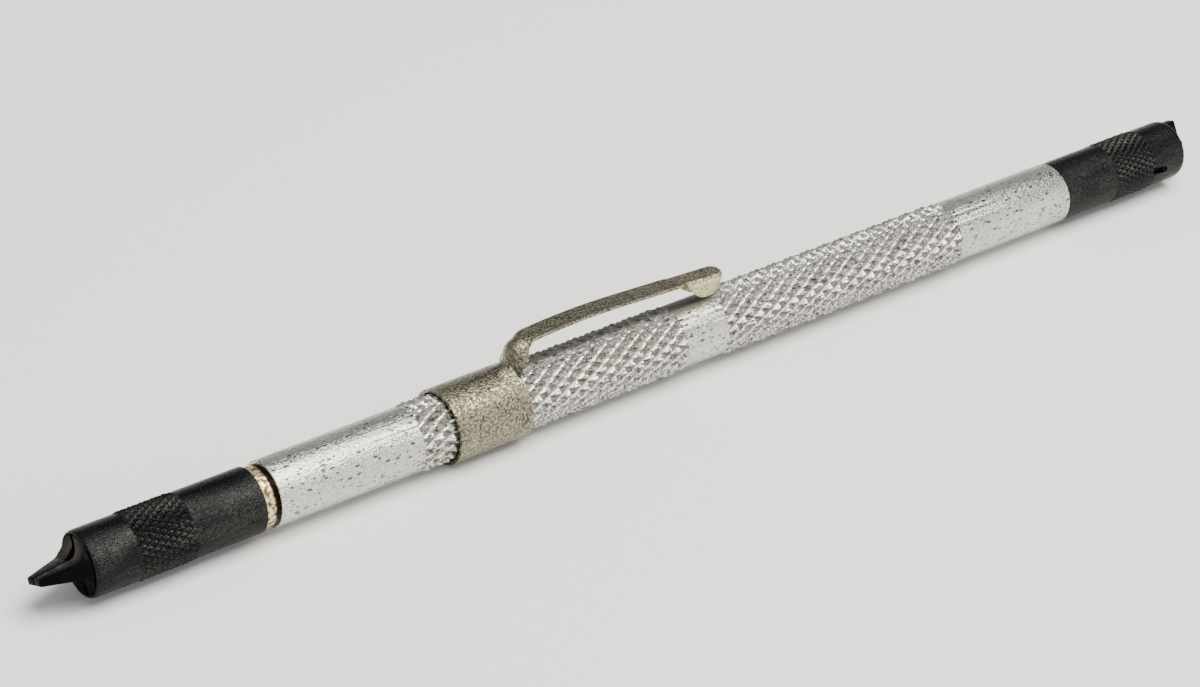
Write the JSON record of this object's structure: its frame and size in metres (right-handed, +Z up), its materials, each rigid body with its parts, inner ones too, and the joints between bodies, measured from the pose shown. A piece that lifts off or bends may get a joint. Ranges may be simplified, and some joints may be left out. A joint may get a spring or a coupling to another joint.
{
  "type": "screw starter",
  "caption": "Slim double-ended screw starter: knurled barrel with spring clip, and sliding sleeves that twist split slotted and cross tips to hold a screw.",
  "frame": {"origin": "centre of the footprint at the lowest point, midway along the overall length", "axes": "+X along the barrel towards the cross tip, +Z up through the pocket clip, -Y towards the viewer of the picture"},
  "size_m": [0.1744, 0.0092, 0.0131],
  "materials": {
    "barrel_aluminium": "turned bare aluminium, lightly pitted, coarse diamond knurl",
    "clip_nickel_steel": "aged nickel plate with speckled wear",
    "sleeve_black_oxide": "black oxide, fine diamond knurl, worn sheen",
    "bush_brass": "tarnished brass",
    "spring_steel": "oiled spring steel",
    "bright_steel": "ground bright steel",
    "tip_blued_steel": "hardened blued steel, ground on the blade faces"
  },
  "bodies": {
    "barrel_body": {"barrel": "barrel_aluminium", "pocket_clip": "clip_nickel_steel", "slotted_neck_bush": "bush_brass", "slotted_detent_ring": "spring_steel", "slotted_pivot_rod": "bright_steel", "slotted_thrust_washer": "bush_brass", "cross_neck_bush": "bush_brass", "cross_detent_ring": "spring_steel", "cross_pivot_rod": "bright_steel", "cross_thrust_washer": "bush_brass"},
    "slotted_sleeve_body": {"slotted_sleeve": "sleeve_black_oxide"},
    "slotted_near_body": {"slotted_blade_near": "tip_blued_steel", "slotted_cam_pin_near": "bright_steel"},
    "slotted_far_body": {"slotted_blade_far": "tip_blued_steel", "slotted_cam_pin_far": "bright_steel"},
    "cross_sleeve_body": {"cross_sleeve": "sleeve_black_oxide"},
    "cross_lower_body": {"cross_tip_lower": "tip_blued_steel", "cross_cam_pin_lower": "bright_steel"},
    "cross_upper_body": {"cross_tip_upper": "tip_blued_steel", "cross_cam_pin_upper": "bright_steel"}
  },
  "joints": [
    {"name": "slotted_slide", "type": "slide", "parent": "barrel_body", "child": "slotted_sleeve_body", "axis": [1, 0, 0], "range_m": [0, 0.00175]},
    {"name": "slotted_near_twist", "type": "hinge", "parent": "barrel_body", "child": "slotted_near_body", "pos_m": [-0.07885, 0, 0.00457], "axis": [-1, 0, 0], "range_deg": [-0.01, 4.52]},
    {"name": "slotted_far_twist", "type": "hinge", "parent": "barrel_body", "child": "slotted_far_body", "pos_m": [-0.07885, 0, 0.00457], "axis": [-1, 0, 0], "range_deg": [-4.52, 0.01]},
    {"name": "cross_slide", "type": "slide", "parent": "barrel_body", "child": "cross_sleeve_body", "axis": [1, 0, 0], "range_m": [0, 0.00175]},
    {"name": "cross_lower_twist", "type": "hinge", "parent": "barrel_body", "child": "cross_lower_body", "pos_m": [0.08355, 0, 0.00457], "axis": [-1, 0, 0], "range_deg": [-0.01, 4.52]},
    {"name": "cross_upper_twist", "type": "hinge", "parent": "barrel_body", "child": "cross_upper_body", "pos_m": [0.08355, 0, 0.00457], "axis": [-1, 0, 0], "range_deg": [-4.52, 0.01]}
  ],
  "couplings": [
    {"joint": "slotted_near_twist", "follows": "slotted_slide", "rad_per_m": 44.88},
    {"joint": "slotted_far_twist", "follows": "slotted_slide", "rad_per_m": -44.88},
    {"joint": "cross_lower_twist", "follows": "cross_slide", "rad_per_m": 44.88},
    {"joint": "cross_upper_twist", "follows": "cross_slide", "rad_per_m": -44.88}
  ]
}
